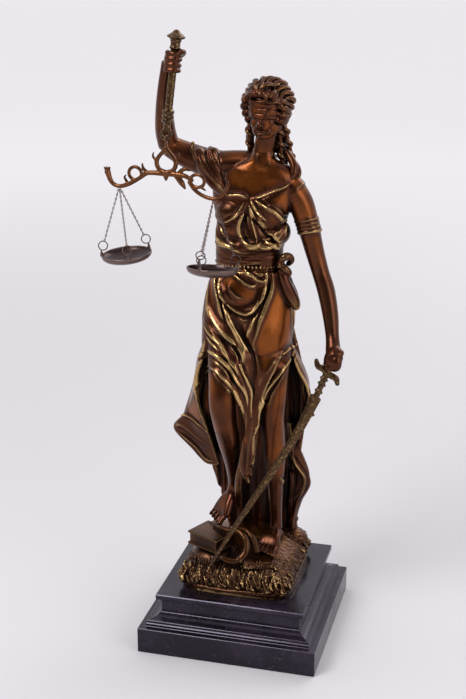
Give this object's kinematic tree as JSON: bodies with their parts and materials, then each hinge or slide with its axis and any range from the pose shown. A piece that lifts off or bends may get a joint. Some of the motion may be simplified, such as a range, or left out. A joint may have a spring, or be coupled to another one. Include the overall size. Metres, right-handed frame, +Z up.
{
  "type": "lady justice statue",
  "caption": "Cast bronze blindfolded figure holding scales aloft and a lowered sword, on a stepped black marble base.",
  "frame": {"origin": "centre of the marble base's underside", "axes": "+Z up through the standing figure, -Y the way the figure's front faces, +X to the viewer's right, the sword side"},
  "size_m": [0.2548, 0.2, 0.6725],
  "materials": {
    "bronze": "brown patinated bronze with gold worn ridges",
    "dark_metal": "dark patinated sheet and wire",
    "marble": "semi-gloss black marble"
  },
  "bodies": {
    "root": {"marble_plinth": "marble", "marble_top_slab": "marble", "bronze_figure": "bronze", "scale_handle": "bronze", "scale_beam": "bronze", "left_pan": "dark_metal", "left_ring_1": "dark_metal", "left_ring_2": "dark_metal", "left_ring_3": "dark_metal", "left_chain_1": "dark_metal", "left_chain_2": "dark_metal", "left_chain_3": "dark_metal", "right_pan": "dark_metal", "right_ring_1": "dark_metal", "right_ring_2": "dark_metal", "right_ring_3": "dark_metal", "right_chain_1": "dark_metal", "right_chain_2": "dark_metal", "right_chain_3": "dark_metal", "sword": "bronze"}
  },
  "joints": []
}
